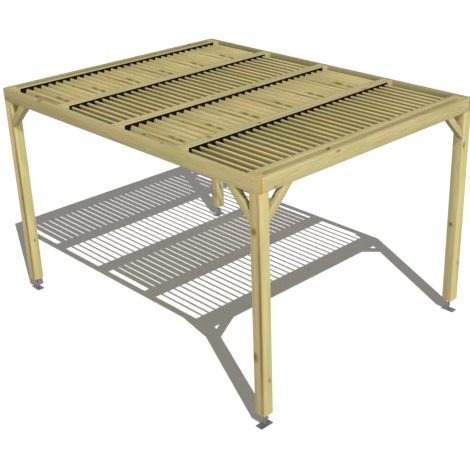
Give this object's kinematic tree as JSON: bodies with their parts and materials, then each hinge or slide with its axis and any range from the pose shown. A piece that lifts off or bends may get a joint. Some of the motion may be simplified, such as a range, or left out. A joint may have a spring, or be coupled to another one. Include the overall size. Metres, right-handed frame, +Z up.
{
  "type": "pergola",
  "caption": "Free-standing timber pergola: square posts on steel shoes, corner braces and a flat roof of bays whose tilting louvre boards open or close for shade.",
  "frame": {"origin": "centre of the footprint, on the ground", "axes": "+X along the front to the right, +Y from front to back, +Z up"},
  "size_m": [3.175, 4.14, 2.55],
  "materials": {
    "timber": "pressure-treated softwood, planed, pale yellow-green",
    "bearing_strip": "matt black",
    "galvanised_steel": "hot-dip galvanised, dull"
  },
  "bodies": {
    "frame": {"front_left_post": "timber", "front_left_shoe": "galvanised_steel", "front_left_braces": "timber", "front_right_post": "timber", "front_right_shoe": "galvanised_steel", "front_right_braces": "timber", "back_left_post": "timber", "back_left_shoe": "galvanised_steel", "back_left_braces": "timber", "back_right_post": "timber", "back_right_shoe": "galvanised_steel", "back_right_braces": "timber", "left_beam": "timber", "right_beam": "timber", "front_beam": "timber", "back_beam": "timber", "bay_1_rails": "timber", "bay_1_strips": "bearing_strip", "bay_2_rails": "timber", "bay_2_strips": "bearing_strip", "bay_3_rails": "timber", "bay_3_strips": "bearing_strip", "bay_4_rails": "timber", "bay_4_strips": "bearing_strip", "bay_2_louvres": "timber", "bay_3_louvres": "timber", "bay_4_louvres": "timber"},
    "louvre_01": {"louvre_01": "timber"},
    "louvre_02": {"louvre_02": "timber"},
    "louvre_03": {"louvre_03": "timber"},
    "louvre_04": {"louvre_04": "timber"},
    "louvre_05": {"louvre_05": "timber"},
    "louvre_06": {"louvre_06": "timber"},
    "louvre_07": {"louvre_07": "timber"},
    "louvre_08": {"louvre_08": "timber"},
    "louvre_09": {"louvre_09": "timber"},
    "louvre_10": {"louvre_10": "timber"},
    "louvre_11": {"louvre_11": "timber"},
    "louvre_12": {"louvre_12": "timber"},
    "louvre_13": {"louvre_13": "timber"},
    "louvre_14": {"louvre_14": "timber"},
    "louvre_15": {"louvre_15": "timber"},
    "louvre_16": {"louvre_16": "timber"},
    "louvre_17": {"louvre_17": "timber"},
    "louvre_18": {"louvre_18": "timber"},
    "louvre_19": {"louvre_19": "timber"},
    "louvre_20": {"louvre_20": "timber"},
    "louvre_21": {"louvre_21": "timber"},
    "louvre_22": {"louvre_22": "timber"},
    "louvre_23": {"louvre_23": "timber"},
    "louvre_24": {"louvre_24": "timber"},
    "louvre_25": {"louvre_25": "timber"},
    "louvre_26": {"louvre_26": "timber"},
    "louvre_27": {"louvre_27": "timber"},
    "louvre_28": {"louvre_28": "timber"},
    "louvre_29": {"louvre_29": "timber"},
    "louvre_30": {"louvre_30": "timber"}
  },
  "joints": [
    {"name": "louvre_01_tilt", "type": "hinge", "parent": "frame", "child": "louvre_01", "pos_m": [-1.413, -1.44938, 2.49], "axis": [0, 1, 0], "range_deg": [-50, 48]},
    {"name": "louvre_02_tilt", "type": "hinge", "parent": "frame", "child": "louvre_02", "pos_m": [-1.3161, -1.44938, 2.49], "axis": [0, 1, 0], "range_deg": [-50, 48]},
    {"name": "louvre_03_tilt", "type": "hinge", "parent": "frame", "child": "louvre_03", "pos_m": [-1.21921, -1.44938, 2.49], "axis": [0, 1, 0], "range_deg": [-50, 48]},
    {"name": "louvre_04_tilt", "type": "hinge", "parent": "frame", "child": "louvre_04", "pos_m": [-1.12231, -1.44938, 2.49], "axis": [0, 1, 0], "range_deg": [-50, 48]},
    {"name": "louvre_05_tilt", "type": "hinge", "parent": "frame", "child": "louvre_05", "pos_m": [-1.02541, -1.44938, 2.49], "axis": [0, 1, 0], "range_deg": [-50, 48]},
    {"name": "louvre_06_tilt", "type": "hinge", "parent": "frame", "child": "louvre_06", "pos_m": [-0.92852, -1.44938, 2.49], "axis": [0, 1, 0], "range_deg": [-50, 48]},
    {"name": "louvre_07_tilt", "type": "hinge", "parent": "frame", "child": "louvre_07", "pos_m": [-0.83162, -1.44938, 2.49], "axis": [0, 1, 0], "range_deg": [-50, 48]},
    {"name": "louvre_08_tilt", "type": "hinge", "parent": "frame", "child": "louvre_08", "pos_m": [-0.73472, -1.44938, 2.49], "axis": [0, 1, 0], "range_deg": [-50, 48]},
    {"name": "louvre_09_tilt", "type": "hinge", "parent": "frame", "child": "louvre_09", "pos_m": [-0.63783, -1.44938, 2.49], "axis": [0, 1, 0], "range_deg": [-50, 48]},
    {"name": "louvre_10_tilt", "type": "hinge", "parent": "frame", "child": "louvre_10", "pos_m": [-0.54093, -1.44938, 2.49], "axis": [0, 1, 0], "range_deg": [-50, 48]},
    {"name": "louvre_11_tilt", "type": "hinge", "parent": "frame", "child": "louvre_11", "pos_m": [-0.44403, -1.44938, 2.49], "axis": [0, 1, 0], "range_deg": [-50, 48]},
    {"name": "louvre_12_tilt", "type": "hinge", "parent": "frame", "child": "louvre_12", "pos_m": [-0.34714, -1.44938, 2.49], "axis": [0, 1, 0], "range_deg": [-50, 48]},
    {"name": "louvre_13_tilt", "type": "hinge", "parent": "frame", "child": "louvre_13", "pos_m": [-0.25024, -1.44938, 2.49], "axis": [0, 1, 0], "range_deg": [-50, 48]},
    {"name": "louvre_14_tilt", "type": "hinge", "parent": "frame", "child": "louvre_14", "pos_m": [-0.15335, -1.44938, 2.49], "axis": [0, 1, 0], "range_deg": [-50, 48]},
    {"name": "louvre_15_tilt", "type": "hinge", "parent": "frame", "child": "louvre_15", "pos_m": [-0.05645, -1.44938, 2.49], "axis": [0, 1, 0], "range_deg": [-50, 48]},
    {"name": "louvre_16_tilt", "type": "hinge", "parent": "frame", "child": "louvre_16", "pos_m": [0.04045, -1.44938, 2.49], "axis": [0, 1, 0], "range_deg": [-50, 48]},
    {"name": "louvre_17_tilt", "type": "hinge", "parent": "frame", "child": "louvre_17", "pos_m": [0.13734, -1.44938, 2.49], "axis": [0, 1, 0], "range_deg": [-50, 48]},
    {"name": "louvre_18_tilt", "type": "hinge", "parent": "frame", "child": "louvre_18", "pos_m": [0.23424, -1.44938, 2.49], "axis": [0, 1, 0], "range_deg": [-50, 48]},
    {"name": "louvre_19_tilt", "type": "hinge", "parent": "frame", "child": "louvre_19", "pos_m": [0.33114, -1.44938, 2.49], "axis": [0, 1, 0], "range_deg": [-50, 48]},
    {"name": "louvre_20_tilt", "type": "hinge", "parent": "frame", "child": "louvre_20", "pos_m": [0.42803, -1.44938, 2.49], "axis": [0, 1, 0], "range_deg": [-50, 48]},
    {"name": "louvre_21_tilt", "type": "hinge", "parent": "frame", "child": "louvre_21", "pos_m": [0.52493, -1.44938, 2.49], "axis": [0, 1, 0], "range_deg": [-50, 48]},
    {"name": "louvre_22_tilt", "type": "hinge", "parent": "frame", "child": "louvre_22", "pos_m": [0.62183, -1.44938, 2.49], "axis": [0, 1, 0], "range_deg": [-50, 48]},
    {"name": "louvre_23_tilt", "type": "hinge", "parent": "frame", "child": "louvre_23", "pos_m": [0.71872, -1.44938, 2.49], "axis": [0, 1, 0], "range_deg": [-50, 48]},
    {"name": "louvre_24_tilt", "type": "hinge", "parent": "frame", "child": "louvre_24", "pos_m": [0.81562, -1.44938, 2.49], "axis": [0, 1, 0], "range_deg": [-50, 48]},
    {"name": "louvre_25_tilt", "type": "hinge", "parent": "frame", "child": "louvre_25", "pos_m": [0.91252, -1.44938, 2.49], "axis": [0, 1, 0], "range_deg": [-50, 48]},
    {"name": "louvre_26_tilt", "type": "hinge", "parent": "frame", "child": "louvre_26", "pos_m": [1.00941, -1.44938, 2.49], "axis": [0, 1, 0], "range_deg": [-50, 48]},
    {"name": "louvre_27_tilt", "type": "hinge", "parent": "frame", "child": "louvre_27", "pos_m": [1.10631, -1.44938, 2.49], "axis": [0, 1, 0], "range_deg": [-50, 48]},
    {"name": "louvre_28_tilt", "type": "hinge", "parent": "frame", "child": "louvre_28", "pos_m": [1.20321, -1.44938, 2.49], "axis": [0, 1, 0], "range_deg": [-50, 48]},
    {"name": "louvre_29_tilt", "type": "hinge", "parent": "frame", "child": "louvre_29", "pos_m": [1.3001, -1.44938, 2.49], "axis": [0, 1, 0], "range_deg": [-50, 48]},
    {"name": "louvre_30_tilt", "type": "hinge", "parent": "frame", "child": "louvre_30", "pos_m": [1.397, -1.44938, 2.49], "axis": [0, 1, 0], "range_deg": [-50, 48]}
  ],
  "couplings": [
    {"joint": "louvre_02_tilt", "follows": "louvre_01_tilt", "ratio": 1},
    {"joint": "louvre_03_tilt", "follows": "louvre_01_tilt", "ratio": 1},
    {"joint": "louvre_04_tilt", "follows": "louvre_01_tilt", "ratio": 1},
    {"joint": "louvre_05_tilt", "follows": "louvre_01_tilt", "ratio": 1},
    {"joint": "louvre_06_tilt", "follows": "louvre_01_tilt", "ratio": 1},
    {"joint": "louvre_07_tilt", "follows": "louvre_01_tilt", "ratio": 1},
    {"joint": "louvre_08_tilt", "follows": "louvre_01_tilt", "ratio": 1},
    {"joint": "louvre_09_tilt", "follows": "louvre_01_tilt", "ratio": 1},
    {"joint": "louvre_10_tilt", "follows": "louvre_01_tilt", "ratio": 1},
    {"joint": "louvre_11_tilt", "follows": "louvre_01_tilt", "ratio": 1},
    {"joint": "louvre_12_tilt", "follows": "louvre_01_tilt", "ratio": 1},
    {"joint": "louvre_13_tilt", "follows": "louvre_01_tilt", "ratio": 1},
    {"joint": "louvre_14_tilt", "follows": "louvre_01_tilt", "ratio": 1},
    {"joint": "louvre_15_tilt", "follows": "louvre_01_tilt", "ratio": 1},
    {"joint": "louvre_16_tilt", "follows": "louvre_01_tilt", "ratio": 1},
    {"joint": "louvre_17_tilt", "follows": "louvre_01_tilt", "ratio": 1},
    {"joint": "louvre_18_tilt", "follows": "louvre_01_tilt", "ratio": 1},
    {"joint": "louvre_19_tilt", "follows": "louvre_01_tilt", "ratio": 1},
    {"joint": "louvre_20_tilt", "follows": "louvre_01_tilt", "ratio": 1},
    {"joint": "louvre_21_tilt", "follows": "louvre_01_tilt", "ratio": 1},
    {"joint": "louvre_22_tilt", "follows": "louvre_01_tilt", "ratio": 1},
    {"joint": "louvre_23_tilt", "follows": "louvre_01_tilt", "ratio": 1},
    {"joint": "louvre_24_tilt", "follows": "louvre_01_tilt", "ratio": 1},
    {"joint": "louvre_25_tilt", "follows": "louvre_01_tilt", "ratio": 1},
    {"joint": "louvre_26_tilt", "follows": "louvre_01_tilt", "ratio": 1},
    {"joint": "louvre_27_tilt", "follows": "louvre_01_tilt", "ratio": 1},
    {"joint": "louvre_28_tilt", "follows": "louvre_01_tilt", "ratio": 1},
    {"joint": "louvre_29_tilt", "follows": "louvre_01_tilt", "ratio": 1},
    {"joint": "louvre_30_tilt", "follows": "louvre_01_tilt", "ratio": 1}
  ]
}
